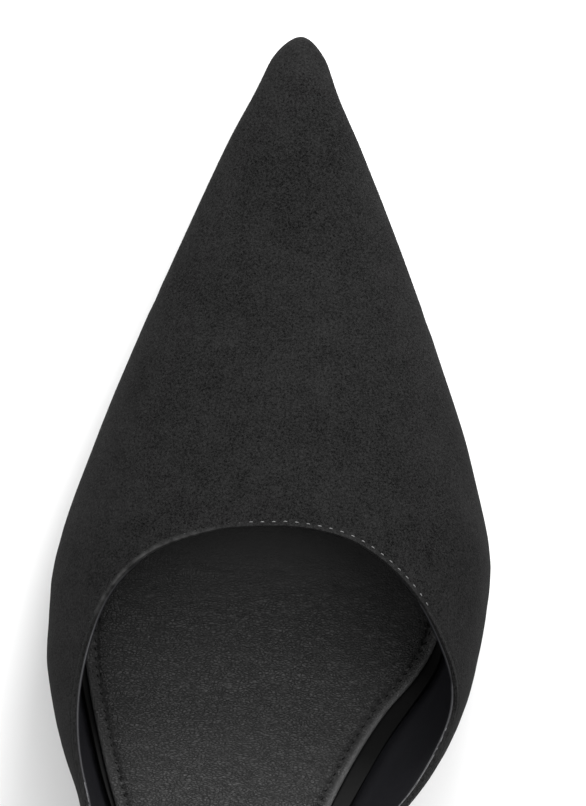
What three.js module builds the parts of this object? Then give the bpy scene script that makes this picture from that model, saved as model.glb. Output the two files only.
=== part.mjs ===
// Pointed court shoe for the left foot: a low-cut suede upper on a slim covered heel.
// Millimetres, +Z up, the toe points along +Y and the inner (medial) side of the foot is +X.
// A place along the shoe is given as "back", the distance behind the toe tip.

import * as THREE from 'three';

// Driving dimensions
const SHOE_LENGTH = 246;
const BALL_WIDTH = 83;
const HEEL_HEIGHT = 79;
const TOE_SPRING = 5;
const INSTEP_HEIGHT = 46;
const BACK_HEIGHT = 52;
const UPPER_WALL = 1.8;
const TOPLINE_WALL = 1.1;
const LASTING_MARGIN = 9;
const SOLE_THICKNESS = 3;
const SOLE_INSET = 1.2;
const INSOLE_THICKNESS = 2;
const SOCK_THICKNESS = 1.6;
const SOCK_STRIP_LATERAL = 0.8;
const SOCK_STRIP_MEDIAL = 3.4;
const SOCK_STRIP_FRONT = 1;
const TOE_ROUNDING = 6;
const TOE_PUFF_DEPTH = 7;
const INSOLE_FRONT = 18;
const SEAT_ROUNDING = 30;
const SEAT_CENTRE = -2.1;
const HEEL_SEAT_LENGTH = 52;
const HEEL_SEAT_INSET = 0.2;
const HEEL_TIP_WIDTH = 10.6;
const HEEL_TIP_LENGTH = 11;
const HEEL_TIP_SETBACK = 17;
const BREAST_SCOOP = 0.2;
const TOP_PIECE_THICKNESS = 5;
const SEAM_GAP = 0.3;

// Where the rib that ends at the throat starts, as a share of the length
const THROAT_FOOT = 0.25;
// How much of a rib's slant comes in its upper part, and how late the wall is pared towards the topline
const RIB_SLANT = 1.4;
const PARING = 4;
// How far up the wall it keeps the feather line's steep rise, as a share
const FEATHER_BEND = 0.3;
// Places across the breast where it is scooped, and how much narrower the tip is at its breast
const BREAST_PLACES = [0.35, 0.5];
const TIP_NARROWING = 0.12;

// Shares of the length between which the medial strip beside the sock widens from its front width
const STRIP_WIDENS = [0.462, 0.515];

// How finely each piece is divided
const VAMP_RIBS = 14;
const QUARTER_RIBS = 30;
const TOE_RIBS = 4;
const SEAT_RIBS = 8;
const PARED_RIBS = 3;
const WALL_ROWS = 3;
const DOME_ROWS = 7;
const PLATE_STATIONS = 32;
const HEEL_STEPS = 10;

const HALF_BALL = BALL_WIDTH / 2;
const SEAT_START = SHOE_LENGTH - SEAT_ROUNDING;
const HEEL_BREAST = SHOE_LENGTH - HEEL_SEAT_LENGTH;
const WALL_TOP_ROW = WALL_ROWS + DOME_ROWS;

// Bottom line of the sole: back as a share of the length, then shares of the toe spring and the heel height
const GROUND_LINE = [
  { back: 0.0, spring: 1.0, rise: 0.0 },
  { back: 0.12, spring: 0.5, rise: 0.0 },
  { back: 0.24, spring: 0.16, rise: 0.0 },
  { back: 0.34, spring: 0.0, rise: 0.0 },
  { back: 0.456, spring: 0.0, rise: 0.0 },
  { back: 0.508, spring: 0.0, rise: 0.052 },
  { back: 0.549, spring: 0.0, rise: 0.122 },
  { back: 0.59, spring: 0.0, rise: 0.21 },
  { back: 0.67, spring: 0.0, rise: 0.41 },
  { back: 0.752, spring: 0.0, rise: 0.603 },
  { back: 0.833, spring: 0.0, rise: 0.761 },
  { back: 0.915, spring: 0.0, rise: 0.884 },
  { back: 1.0, spring: 0.0, rise: 1.0 },
];

// Plan of the last: half widths as shares of half the ball width, at the feather line and at the widest
const PLAN = [
  { back: 0.0, featherL: 0.077, featherM: 0.073, widestL: 0.096, widestM: 0.088 },
  { back: 0.04, featherL: 0.147, featherM: 0.145, widestL: 0.18, widestM: 0.177 },
  { back: 0.081, featherL: 0.236, featherM: 0.25, widestL: 0.287, widestM: 0.303 },
  { back: 0.163, featherL: 0.4, featherM: 0.458, widestL: 0.47, widestM: 0.538 },
  { back: 0.244, featherL: 0.56, featherM: 0.654, widestL: 0.643, widestM: 0.75 },
  { back: 0.325, featherL: 0.708, featherM: 0.829, widestL: 0.798, widestM: 0.937 },
  { back: 0.407, featherL: 0.831, featherM: 0.94, widestL: 0.925, widestM: 1.052 },
  { back: 0.435, featherL: 0.852, featherM: 0.94, widestL: 0.945, widestM: 1.045 },
  { back: 0.488, featherL: 0.845, featherM: 0.862, widestL: 0.937, widestM: 1.002 },
  { back: 0.524, featherL: 0.79, featherM: 0.725, widestL: 0.892, widestM: 0.937 },
  { back: 0.565, featherL: 0.714, featherM: 0.596, widestL: 0.807, widestM: 0.811 },
  { back: 0.593, featherL: 0.652, featherM: 0.524, widestL: 0.728, widestM: 0.69 },
  { back: 0.63, featherL: 0.56, featherM: 0.45, widestL: 0.672, widestM: 0.612 },
  { back: 0.671, featherL: 0.51, featherM: 0.39, widestL: 0.638, widestM: 0.568 },
  { back: 0.711, featherL: 0.494, featherM: 0.366, widestL: 0.624, widestM: 0.552 },
  { back: 0.772, featherL: 0.528, featherM: 0.41, widestL: 0.632, widestM: 0.552 },
  { back: 0.841, featherL: 0.585, featherM: 0.476, widestL: 0.655, widestM: 0.566 },
  { back: 0.915, featherL: 0.622, featherM: 0.52, widestL: 0.672, widestM: 0.578 },
  { back: 1.0, featherL: 0.622, featherM: 0.52, widestL: 0.672, widestM: 0.578 },
];

// Heights of the last above the feather line: of the widest line, as shares of the instep height, and of
// the dome over it, as shares of the instep and back heights. Ridge is its place across, a share of half the
// ball.
// The bows are the powers of the dome's sine and cosine: above 1 they flatten each side of it.
const HEIGHTS = [
  { back: 0.0, wideL: 0.048, wideM: 0.048, instep: 0.13, rear: 0.0, ridge: 0.0, bowL: 1.1, bowM: 1.1 },
  { back: 0.04, wideL: 0.088, wideM: 0.088, instep: 0.228, rear: 0.0, ridge: 0.012, bowL: 1.11, bowM: 1.1 },
  { back: 0.081, wideL: 0.12, wideM: 0.12, instep: 0.305, rear: 0.0, ridge: 0.025, bowL: 1.12, bowM: 1.1 },
  { back: 0.163, wideL: 0.163, wideM: 0.165, instep: 0.446, rear: 0.0, ridge: 0.05, bowL: 1.13, bowM: 1.09 },
  { back: 0.244, wideL: 0.196, wideM: 0.2, instep: 0.598, rear: 0.0, ridge: 0.078, bowL: 1.14, bowM: 1.08 },
  { back: 0.325, wideL: 0.228, wideM: 0.24, instep: 0.767, rear: 0.0, ridge: 0.104, bowL: 1.14, bowM: 1.07 },
  { back: 0.376, wideL: 0.25, wideM: 0.26, instep: 0.87, rear: 0.0, ridge: 0.12, bowL: 1.14, bowM: 1.06 },
  { back: 0.435, wideL: 0.272, wideM: 0.283, instep: 0.98, rear: 0.0, ridge: 0.12, bowL: 1.14, bowM: 1.05 },
  { back: 0.488, wideL: 0.293, wideM: 0.34, instep: 1.04, rear: 0.0, ridge: 0.1, bowL: 1.14, bowM: 1.04 },
  { back: 0.565, wideL: 0.326, wideM: 0.425, instep: 0.96, rear: 0.12, ridge: 0.06, bowL: 1.12, bowM: 1.03 },
  { back: 0.63, wideL: 0.37, wideM: 0.457, instep: 0.6, rear: 0.62, ridge: 0.03, bowL: 1.08, bowM: 1.02 },
  { back: 0.711, wideL: 0.39, wideM: 0.467, instep: 0.25, rear: 0.98, ridge: 0.0, bowL: 1.04, bowM: 1.01 },
  { back: 0.772, wideL: 0.39, wideM: 0.44, instep: 0.1, rear: 1.1, ridge: -0.02, bowL: 1, bowM: 1 },
  { back: 0.841, wideL: 0.39, wideM: 0.413, instep: 0.0, rear: 1.22, ridge: -0.04, bowL: 1, bowM: 1 },
  { back: 0.915, wideL: 0.39, wideM: 0.39, instep: 0.0, rear: 1.36, ridge: -0.05, bowL: 1, bowM: 1 },
  { back: 1.0, wideL: 0.39, wideM: 0.39, instep: 0.0, rear: 1.5, ridge: -0.05, bowL: 1, bowM: 1 },
];

// Topline from the throat to the back seam: how far up the dome's quarter turn each side is cut
const THROAT_BACK = 0.3755;
const TOPLINE = [
  { back: 0.3755, turnL: 1.0, turnM: 1.0 },
  { back: 0.3772, turnL: 0.902, turnM: 0.891 },
  { back: 0.3797, turnL: 0.808, turnM: 0.822 },
  { back: 0.386, turnL: 0.72, turnM: 0.757 },
  { back: 0.3955, turnL: 0.625, turnM: 0.683 },
  { back: 0.4089, turnL: 0.54, turnM: 0.607 },
  { back: 0.4262, turnL: 0.474, turnM: 0.524 },
  { back: 0.4477, turnL: 0.413, turnM: 0.437 },
  { back: 0.472, turnL: 0.37, turnM: 0.332 },
  { back: 0.4911, turnL: 0.345, turnM: 0.249 },
  { back: 0.516, turnL: 0.301, turnM: 0.185 },
  { back: 0.545, turnL: 0.255, turnM: 0.178 },
  { back: 0.59, turnL: 0.185, turnM: 0.182 },
  { back: 0.62, turnL: 0.167, turnM: 0.17 },
  { back: 0.65, turnL: 0.162, turnM: 0.165 },
  { back: 0.695, turnL: 0.17, turnM: 0.173 },
  { back: 0.74, turnL: 0.19, turnM: 0.196 },
  { back: 0.785, turnL: 0.224, turnM: 0.237 },
  { back: 0.83, turnL: 0.264, turnM: 0.279 },
  { back: 0.87, turnL: 0.293, turnM: 0.305 },
  { back: 0.915, turnL: 0.317, turnM: 0.325 },
  { back: 0.96, turnL: 0.331, turnM: 0.335 },
  { back: 1.0, turnL: 0.336, turnM: 0.336 },
];

// Side view of the two ends: how far each height of the wall leans, back from the toe and out over the seat
const TOE_CURVE = [
  { up: 0.0, lean: 0.0 },
  { up: 0.35, lean: 0.0 },
  { up: 0.7, lean: 0.12 },
  { up: 1.0, lean: 0.42 },
];
const BACK_CURVE = [
  { up: 0.0, lean: 0.0 },
  { up: 0.18, lean: 0.034 },
  { up: 0.4, lean: 0.044 },
  { up: 0.7, lean: 0.006 },
  { up: 1.0, lean: -0.09 },
];

// Heel from the seat to the tip: shares of the way down, of the taper in width, and of the two faces' sweep
const HEEL_SECTIONS = [
  { down: 0.0, taper: 0.0, backSweep: 0.0, breastSweep: 0.0 },
  { down: 0.07, taper: 0.13, backSweep: 0.1, breastSweep: 0.2 },
  { down: 0.16, taper: 0.31, backSweep: 0.26, breastSweep: 0.44 },
  { down: 0.28, taper: 0.51, backSweep: 0.45, breastSweep: 0.68 },
  { down: 0.42, taper: 0.69, backSweep: 0.64, breastSweep: 0.86 },
  { down: 0.58, taper: 0.83, backSweep: 0.8, breastSweep: 0.955 },
  { down: 0.78, taper: 0.94, backSweep: 0.93, breastSweep: 0.99 },
  { down: 1.0, taper: 1.0, backSweep: 1.0, breastSweep: 1.0 },
];

// Smooth value of one column of a table at a place, without overshoot between its rows
function readTable(table, key, column, place) {
  const last = table.length - 1;
  const at = Math.min(Math.max(place, table[0][key]), table[last][key]);
  let row = 0;
  while (row < last - 1 && at > table[row + 1][key]) row += 1;
  const rise = (k) => (table[k + 1][column] - table[k][column]) / (table[k + 1][key] - table[k][key]);
  const slope = (k) => {
    if (k === 0) return rise(0);
    if (k === last) return rise(last - 1);
    const before = rise(k - 1);
    const after = rise(k);
    return before * after <= 0 ? 0 : (2 * before * after) / (before + after);
  };
  const span = table[row + 1][key] - table[row][key];
  const t = (at - table[row][key]) / span;
  const start = table[row][column];
  const end = table[row + 1][column];
  const blend = t * t * (3 - 2 * t);
  const startPull = t * (1 - t) * (1 - t) * span * slope(row);
  const endPull = t * t * (t - 1) * span * slope(row + 1);
  return start + (end - start) * blend + startPull + endPull;
}

const alongShoe = (table, column, back) => readTable(table, 'back', column, back / SHOE_LENGTH);

function ground(back) {
  return TOE_SPRING * alongShoe(GROUND_LINE, 'spring', back)
    + HEEL_HEIGHT * alongShoe(GROUND_LINE, 'rise', back);
}

// Height of a layer that lies at a depth of stack above the sole's bottom, measured square to its slope
function level(back, stack) {
  const reach = 1;
  const slope = (ground(back + reach) - ground(back - reach)) / (2 * reach);
  return ground(back) + stack * Math.hypot(1, slope);
}

const MARGIN_LEVEL = SOLE_THICKNESS + SEAM_GAP;
const INSOLE_LEVEL = MARGIN_LEVEL + UPPER_WALL + SEAM_GAP;
const SOCK_LEVEL = INSOLE_LEVEL + INSOLE_THICKNESS + SEAM_GAP;

// Share of the full width left where the plan rounds off at the toe and round the seat
function rounding(back, start, end) {
  const toe = Math.min(Math.max((back - start) / TOE_ROUNDING, 0), 1);
  const seat = back > SEAT_START ? Math.min((back - SEAT_START) / (end - SEAT_START), 1) : 0;
  return Math.sqrt(1 - (1 - toe) ** 2) * Math.sqrt(1 - seat ** 2);
}

// Half width of the last at the feather line or the widest line, taken in by an inset all round
function halfWidth(kind, side, back, inset) {
  const full = HALF_BALL * alongShoe(PLAN, kind + (side < 0 ? 'L' : 'M'), back);
  const centre = side * seatShift(back);
  return Math.max(full - centre - inset, 0) * rounding(back, 0, SHOE_LENGTH - inset) + centre;
}

// Moves a place round the seat forward, so that an inset outline keeps its distance there too
function takenIn(back, inset) {
  return back > SEAT_START ? SEAT_START + (back - SEAT_START) * (1 - inset / SEAT_ROUNDING) : back;
}

// The seat rounds off about its own centre line, which lies a little to the outer side of the toe's
function seatShift(back) {
  const share = Math.min(Math.max((back - SEAT_START + SEAT_ROUNDING) / SEAT_ROUNDING, 0), 1);
  return SEAT_CENTRE * share * share * (3 - 2 * share);
}

function domeHeight(back) {
  return INSTEP_HEIGHT * alongShoe(HEIGHTS, 'instep', back) + BACK_HEIGHT * alongShoe(HEIGHTS, 'rear', back);
}

function ridgeAcross(back) {
  const shift = seatShift(back);
  const ridge = HALF_BALL * alongShoe(HEIGHTS, 'ridge', back);
  const rounded = Math.min(Math.max((back - SEAT_START) / SEAT_ROUNDING, 0), 1);
  return ridge + (shift - ridge) * rounded;
}

// A point of the last: turn runs from -1 at the feather line, 0 at the widest line, to 1 at the ridge
function lastPoint(side, back, turn, inset) {
  const curve = alongShoe(HEIGHTS, side < 0 ? 'bowL' : 'bowM', back);
  const feather = halfWidth('feather', side, back, inset);
  const widest = halfWidth('widest', side, back, inset);
  const wide = INSTEP_HEIGHT * alongShoe(HEIGHTS, side < 0 ? 'wideL' : 'wideM', back);
  const ridge = side * ridgeAcross(back);
  const dome = domeHeight(back) - inset;
  let across = 0;
  let up = 0;
  if (turn <= 0) {
    const t = turn + 1;
    const bend = inset + FEATHER_BEND * (wide - inset);
    across = (1 - t) * (1 - t) * feather + 2 * t * (1 - t) * widest + t * t * widest;
    up = (1 - t) * (1 - t) * inset + 2 * t * (1 - t) * bend + t * t * wide;
  } else {
    const angle = turn * Math.PI / 2;
    const over = Math.max(Math.cos(angle), 0) ** curve;
    across = ridge + (widest - ridge) * over;
    up = wide + (dome - wide) * Math.sin(angle) ** curve;
  }
  const toeShare = Math.max(1 - back / (2 * TOE_ROUNDING), 0) ** 2;
  const toeLean = TOE_ROUNDING * readTable(TOE_CURVE, 'up', 'lean', up / domeHeight(0)) * toeShare;
  const seatShare = Math.min(Math.max((back - SEAT_START + SEAT_ROUNDING) / (2 * SEAT_ROUNDING), 0), 1);
  const seatEase = seatShare * seatShare * (3 - 2 * seatShare);
  const seatLean = BACK_HEIGHT * readTable(BACK_CURVE, 'up', 'lean', up / BACK_HEIGHT) * seatEase;
  const depth = back + toeLean + seatLean;
  return new THREE.Vector3(side * across, -depth, level(back, MARGIN_LEVEL) + up);
}

// Gathers triangles by corner position, so that neighbours share their corners
class Shell {
  constructor() {
    this.places = [];
    this.known = new Map();
    this.faces = [];
  }

  corner(point) {
    const key = [point.x, point.y, point.z].map((value) => Math.round(value * 1e4)).join();
    if (!this.known.has(key)) {
      this.known.set(key, this.places.length);
      this.places.push(point);
    }
    return this.known.get(key);
  }

  triangle(a, b, c) {
    const corners = [this.corner(a), this.corner(b), this.corner(c)];
    if (new Set(corners).size === 3) this.faces.push(corners);
  }

  // Four corners in order round the face, seen from outside on the medial side and turned over on the other
  quad(side, a, b, c, d) {
    if (side > 0) {
      this.triangle(a, b, d);
      this.triangle(b, c, d);
    } else {
      this.triangle(a, d, b);
      this.triangle(b, d, c);
    }
  }

  geometry() {
    const shape = new THREE.BufferGeometry();
    const values = this.places.flatMap((point) => [point.x, point.y, point.z]);
    shape.setAttribute('position', new THREE.Float32BufferAttribute(values, 3));
    shape.setIndex(this.faces.flat());
    shape.computeVertexNormals();
    return shape;
  }
}

// Places along the feather line where the upper's ribs stand, close together round the toe and the seat
function ribFeet() {
  const feet = [];
  const throatFoot = SHOE_LENGTH * THROAT_FOOT;
  for (let k = 0; k < TOE_RIBS; k += 1) {
    feet.push(TOE_ROUNDING * (1 - Math.cos(k / TOE_RIBS * Math.PI / 2)));
  }
  for (let k = 0; k < VAMP_RIBS; k += 1) {
    feet.push(TOE_ROUNDING + (throatFoot - TOE_ROUNDING) * k / VAMP_RIBS);
  }
  for (let k = 0; k < QUARTER_RIBS; k += 1) {
    feet.push(throatFoot + (SEAT_START - throatFoot) * k / QUARTER_RIBS);
  }
  for (let k = 0; k <= SEAT_RIBS; k += 1) {
    feet.push(SEAT_START + SEAT_ROUNDING * Math.sin(k / SEAT_RIBS * Math.PI / 2));
  }
  return feet;
}

const FEET = ribFeet();
const THROAT_RIB = TOE_RIBS + VAMP_RIBS;
const SEAT_RIB = THROAT_RIB + QUARTER_RIBS;
const FIRST_HOLLOW_RIB = FEET.findIndex((foot) => foot >= TOE_PUFF_DEPTH);

const toplineTurn = (side, back) => alongShoe(TOPLINE, side < 0 ? 'turnL' : 'turnM', back);

// Evenly spaced places along the topline of one side, from the throat to where the seat starts to round
function toplinePlaces(side) {
  const steps = 400;
  const throat = THROAT_BACK * SHOE_LENGTH;
  const places = [];
  let travelled = 0;
  let before = null;
  for (let k = 0; k <= steps; k += 1) {
    const back = throat + (SEAT_START - throat) * (k / steps) ** 2;
    const point = lastPoint(side, back, toplineTurn(side, back), 0);
    if (before) travelled += point.distanceTo(before);
    places.push({ travelled, back });
    before = point;
  }
  const even = [];
  for (let k = 0; k <= QUARTER_RIBS; k += 1) {
    even.push(readTable(places, 'travelled', 'back', travelled * k / QUARTER_RIBS));
  }
  return even;
}

const TOPLINE_PLACES = { '-1': toplinePlaces(-1), 1: toplinePlaces(1) };

// Where a rib ends: on the ridge line in front of the throat, and on the topline behind it
function ribTop(side, rib) {
  if (rib <= THROAT_RIB) {
    return { back: FEET[rib] * THROAT_BACK * SHOE_LENGTH / FEET[THROAT_RIB], turn: 1 };
  }
  const back = rib < SEAT_RIB ? TOPLINE_PLACES[side][rib - THROAT_RIB] : FEET[rib];
  return { back, turn: toplineTurn(side, back) };
}

// One point of the upper, on its outer face or, taken in by the wall, on its inner face
function outerPoint(side, rib, row, inset = 0) {
  const top = ribTop(side, rib);
  const rise = row / WALL_TOP_ROW;
  const foot = FEET[rib];
  const back = foot + (top.back - foot) * rise ** RIB_SLANT;
  const turn = row <= WALL_ROWS ? row / WALL_ROWS - 1 : top.turn * (row - WALL_ROWS) / DOME_ROWS;
  return lastPoint(side, takenIn(back, inset), turn, inset);
}

// The wall is pared down towards the topline, where it is folded
function wallThickness(rib, row) {
  const behindThroat = Math.min(Math.max((rib - THROAT_RIB + PARED_RIBS) / PARED_RIBS, 0), 1);
  const paring = behindThroat * (row / WALL_TOP_ROW) ** PARING;
  return UPPER_WALL + (TOPLINE_WALL - UPPER_WALL) * paring;
}

// The hollow starts behind the stiff toe, where the ribs of both sides close on the middle line
function innerPoint(side, rib, row) {
  if (rib > FIRST_HOLLOW_RIB) return outerPoint(side, rib, row, wallThickness(rib, row));
  const medial = outerPoint(1, FIRST_HOLLOW_RIB, row, UPPER_WALL);
  const lateral = outerPoint(-1, FIRST_HOLLOW_RIB, row, UPPER_WALL);
  return medial.add(lateral).multiplyScalar(0.5);
}

// Edge of the lasting margin, which turns in under the insole
function marginPoint(side, rib, height) {
  if (height > 0 && rib <= FIRST_HOLLOW_RIB) return innerPoint(side, rib, 0);
  const back = takenIn(FEET[rib], LASTING_MARGIN);
  const across = halfWidth('feather', side, back, LASTING_MARGIN);
  return new THREE.Vector3(side * across, -back, level(back, MARGIN_LEVEL) + height);
}

const isClosed = (rib) => halfWidth('feather', 1, FEET[rib], LASTING_MARGIN) <= 0
  && halfWidth('feather', -1, FEET[rib], LASTING_MARGIN) <= 0;

function upperGeometry() {
  const shell = new Shell();
  for (const side of [-1, 1]) {
    for (let rib = 0; rib + 1 < FEET.length; rib += 1) {
      const next = rib + 1;
      for (let row = 0; row < WALL_TOP_ROW; row += 1) {
        shell.quad(side, outerPoint(side, rib, row), outerPoint(side, rib, row + 1),
          outerPoint(side, next, row + 1), outerPoint(side, next, row));
        shell.quad(side, innerPoint(side, rib, row), innerPoint(side, next, row),
          innerPoint(side, next, row + 1), innerPoint(side, rib, row + 1));
      }
      shell.quad(side, outerPoint(side, rib, 0), outerPoint(side, next, 0),
        marginPoint(side, next, 0), marginPoint(side, rib, 0));
      shell.quad(side, innerPoint(side, rib, 0), marginPoint(side, rib, UPPER_WALL),
        marginPoint(side, next, UPPER_WALL), innerPoint(side, next, 0));
      if (!isClosed(next)) {
        shell.quad(side, marginPoint(side, rib, 0), marginPoint(side, next, 0),
          marginPoint(side, next, UPPER_WALL), marginPoint(side, rib, UPPER_WALL));
      }
      if (rib >= THROAT_RIB) {
        shell.quad(side, outerPoint(side, rib, WALL_TOP_ROW), innerPoint(side, rib, WALL_TOP_ROW),
          innerPoint(side, next, WALL_TOP_ROW), outerPoint(side, next, WALL_TOP_ROW));
      }
    }
  }
  return shell.geometry();
}

// Places along a plate from its rounded front to its end, which is round at the seat or cut straight across
function plateStations(front, end) {
  const stations = [];
  for (let k = 0; k < TOE_RIBS; k += 1) {
    stations.push(front + TOE_ROUNDING * (1 - Math.cos(k / TOE_RIBS * Math.PI / 2)));
  }
  const evenStart = front + TOE_ROUNDING;
  const evenEnd = Math.min(end, SEAT_START);
  for (let k = 0; k <= PLATE_STATIONS; k += 1) {
    stations.push(evenStart + (evenEnd - evenStart) * k / PLATE_STATIONS);
  }
  for (let k = 1; end > SEAT_START && k <= SEAT_RIBS; k += 1) {
    stations.push(SEAT_START + (end - SEAT_START) * Math.sin(k / SEAT_RIBS * Math.PI / 2));
  }
  return stations;
}

// Width of the insole left bare beside the sock
function sockStrip(side, back) {
  if (side < 0) return SOCK_STRIP_LATERAL;
  const [start, end] = STRIP_WIDENS.map((share) => share * SHOE_LENGTH);
  const t = Math.min(Math.max((back - start) / (end - start), 0), 1);
  return SOCK_STRIP_FRONT + (SOCK_STRIP_MEDIAL - SOCK_STRIP_FRONT) * t * t * (3 - 2 * t);
}

// A plate that follows the sole's line: outsole, insole or sock. Its section runs from the middle of its
// lower face out to the edge and back to the middle of its upper face.
function plateGeometry(plate) {
  const shell = new Shell();
  const stations = plateStations(plate.front, plate.end);
  const section = [
    { share: 0, bevel: plate.bevelLow, stack: plate.low },
    { share: 0.5, bevel: plate.bevelLow, stack: plate.low },
    { share: 1, bevel: plate.bevelLow, stack: plate.low },
    { share: 1, bevel: 0, stack: plate.low + plate.bevelLow },
    { share: 1, bevel: 0, stack: plate.high - plate.bevelHigh },
    { share: 1, bevel: plate.bevelHigh, stack: plate.high },
    { share: 0.5, bevel: plate.bevelHigh, stack: plate.high },
    { share: 0, bevel: plate.bevelHigh, stack: plate.high },
  ];
  const place = (side, station, at) => {
    const inset = plate.inset(side, station) + at.bevel;
    const round = plate.end > SEAT_START;
    const back = round ? takenIn(station, at.bevel) : station;
    const across = plateHalfWidth(side, back, inset, plate.front, plate.end - (round ? at.bevel : 0));
    const middle = seatShift(back);
    return new THREE.Vector3(middle + side * across * at.share, -back, level(back, at.stack));
  };
  for (const side of [-1, 1]) {
    for (let k = 0; k + 1 < stations.length; k += 1) {
      for (let row = 0; row + 1 < section.length; row += 1) {
        shell.quad(side, place(side, stations[k], section[row]), place(side, stations[k], section[row + 1]),
          place(side, stations[k + 1], section[row + 1]), place(side, stations[k + 1], section[row]));
      }
    }
    if (plate.end <= SEAT_START) {
      const mirror = (row) => section[section.length - 1 - row];
      for (let row = 0; row + 1 < section.length / 2; row += 1) {
        shell.quad(side, place(side, plate.end, section[row]), place(side, plate.end, section[row + 1]),
          place(side, plate.end, mirror(row + 1)), place(side, plate.end, mirror(row)));
      }
    }
  }
  return shell.geometry();
}

// Distance from the plate's middle line to its edge
function plateHalfWidth(side, back, inset, front, end) {
  const full = HALF_BALL * alongShoe(PLAN, side < 0 ? 'featherL' : 'featherM', back);
  return Math.max(full - side * seatShift(back) - inset, 0) * rounding(back, front, end);
}

// Point of the heel: round is 0 at the middle of its back and 1 at the corner of the breast
function heelPoint(side, section, round) {
  const end = SHOE_LENGTH - HEEL_SEAT_INSET;
  const seatBack = end - (end - HEEL_BREAST) * round;
  const seatAcross = plateHalfWidth(side, seatBack, HEEL_SEAT_INSET, 0, end);
  const seatWidest = plateHalfWidth(side, SEAT_START, HEEL_SEAT_INSET, 0, end);
  const tipBack = end - HEEL_TIP_SETBACK;
  const backFace = end + (tipBack - end) * section.backSweep;
  const breastFace = HEEL_BREAST + (tipBack - HEEL_TIP_LENGTH - HEEL_BREAST) * section.breastSweep;
  const tipRound = Math.sqrt(Math.max(1 - (1 - round) ** 3, 0)) * (1 - TIP_NARROWING * round);
  const tipAcross = HEEL_TIP_WIDTH / 2 * tipRound;
  const across = seatAcross + (seatAcross / seatWidest * HEEL_TIP_WIDTH / 2 - seatAcross) * section.taper;
  const tipShare = section.taper ** 3;
  const back = backFace + (breastFace - backFace) * round;
  const seatLevel = level(seatBack, SOLE_THICKNESS);
  const tipLevel = TOP_PIECE_THICKNESS + SEAM_GAP;
  return new THREE.Vector3(
    SEAT_CENTRE + side * (across + (tipAcross - across) * tipShare),
    -back,
    seatLevel + (tipLevel - seatLevel) * section.down,
  );
}

// Rings of points joined down the heel, with a face at each end built across from side to side
function ringLoft(rings) {
  const shell = new Shell();
  const across = (ring, step, other) => [ring[1][step], ring[-1][step], ring[-1][other], ring[1][other]];
  for (const side of [-1, 1]) {
    for (let k = 0; k + 1 < rings.length; k += 1) {
      const upper = rings[k][side];
      const lower = rings[k + 1][side];
      for (let step = 0; step + 1 < upper.length; step += 1) {
        shell.quad(side, upper[step], lower[step], lower[step + 1], upper[step + 1]);
      }
    }
  }
  for (let step = 0; step + 1 < rings[0][1].length; step += 1) {
    shell.quad(-1, ...across(rings[0], step, step + 1));
    shell.quad(1, ...across(rings[rings.length - 1], step, step + 1));
  }
  return shell.geometry();
}

// Half rings of one heel section: from the middle of the back round to the middle of the breast
function heelRing(section) {
  const ring = { '-1': [], 1: [] };
  for (const side of [-1, 1]) {
    for (let k = 0; k <= HEEL_STEPS; k += 1) {
      ring[side].push(heelPoint(side, section, 1 - Math.cos(k / HEEL_STEPS * Math.PI / 2)));
    }
  }
  const cornerL = ring[-1][HEEL_STEPS];
  const cornerM = ring[1][HEEL_STEPS];
  for (const share of BREAST_PLACES) {
    const scoop = BREAST_SCOOP * (cornerM.x - cornerL.x) * share * section.taper;
    for (const [side, from, to] of [[-1, cornerL, cornerM], [1, cornerM, cornerL]]) {
      const point = from.clone().lerp(to, share);
      ring[side].push(new THREE.Vector3(point.x, point.y - scoop, point.z));
    }
  }
  return ring;
}

function heelGeometry() {
  return ringLoft(HEEL_SECTIONS.map(heelRing));
}

// The top piece carries the heel's tip outline straight down to the floor
function topPieceGeometry() {
  const tip = HEEL_SECTIONS[HEEL_SECTIONS.length - 1];
  const ring = heelRing(tip);
  const atHeight = (height) => ({
    '-1': ring[-1].map((point) => new THREE.Vector3(point.x, point.y, height)),
    1: ring[1].map((point) => new THREE.Vector3(point.x, point.y, height)),
  });
  return ringLoft([atHeight(TOP_PIECE_THICKNESS), atHeight(0)]);
}

const outsole = {
  front: SOLE_INSET,
  end: HEEL_BREAST - SEAM_GAP,
  inset: () => SOLE_INSET,
  low: 0,
  high: SOLE_THICKNESS,
  bevelLow: 0.8,
  bevelHigh: 0,
};
const insole = {
  front: INSOLE_FRONT,
  end: SHOE_LENGTH - UPPER_WALL - SEAM_GAP,
  inset: () => UPPER_WALL + SEAM_GAP,
  low: INSOLE_LEVEL,
  high: INSOLE_LEVEL + INSOLE_THICKNESS,
  bevelLow: 0,
  bevelHigh: 0.4,
};
const sock = {
  front: INSOLE_FRONT + SOCK_STRIP_FRONT,
  end: SHOE_LENGTH - UPPER_WALL - SEAM_GAP - SOCK_STRIP_LATERAL,
  inset: (side, back) => UPPER_WALL + SEAM_GAP + sockStrip(side, back),
  low: SOCK_LEVEL,
  high: SOCK_LEVEL + SOCK_THICKNESS,
  bevelLow: 0,
  bevelHigh: 0.6,
};

const suede = new THREE.MeshStandardMaterial({ color: 0x1c1c1d, roughness: 0.95, metalness: 0 });
const soleLeather = new THREE.MeshStandardMaterial({ color: 0x17161a, roughness: 0.6, metalness: 0 });
const liningLeather = new THREE.MeshStandardMaterial({ color: 0x202024, roughness: 0.55, metalness: 0 });
const sockLeather = new THREE.MeshStandardMaterial({ color: 0x2a2a2c, roughness: 0.5, metalness: 0 });
const treadPlastic = new THREE.MeshStandardMaterial({ color: 0x111111, roughness: 0.5, metalness: 0 });

function named(name, geometry, material) {
  const mesh = new THREE.Mesh(geometry, material);
  mesh.name = name;
  return mesh;
}

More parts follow.
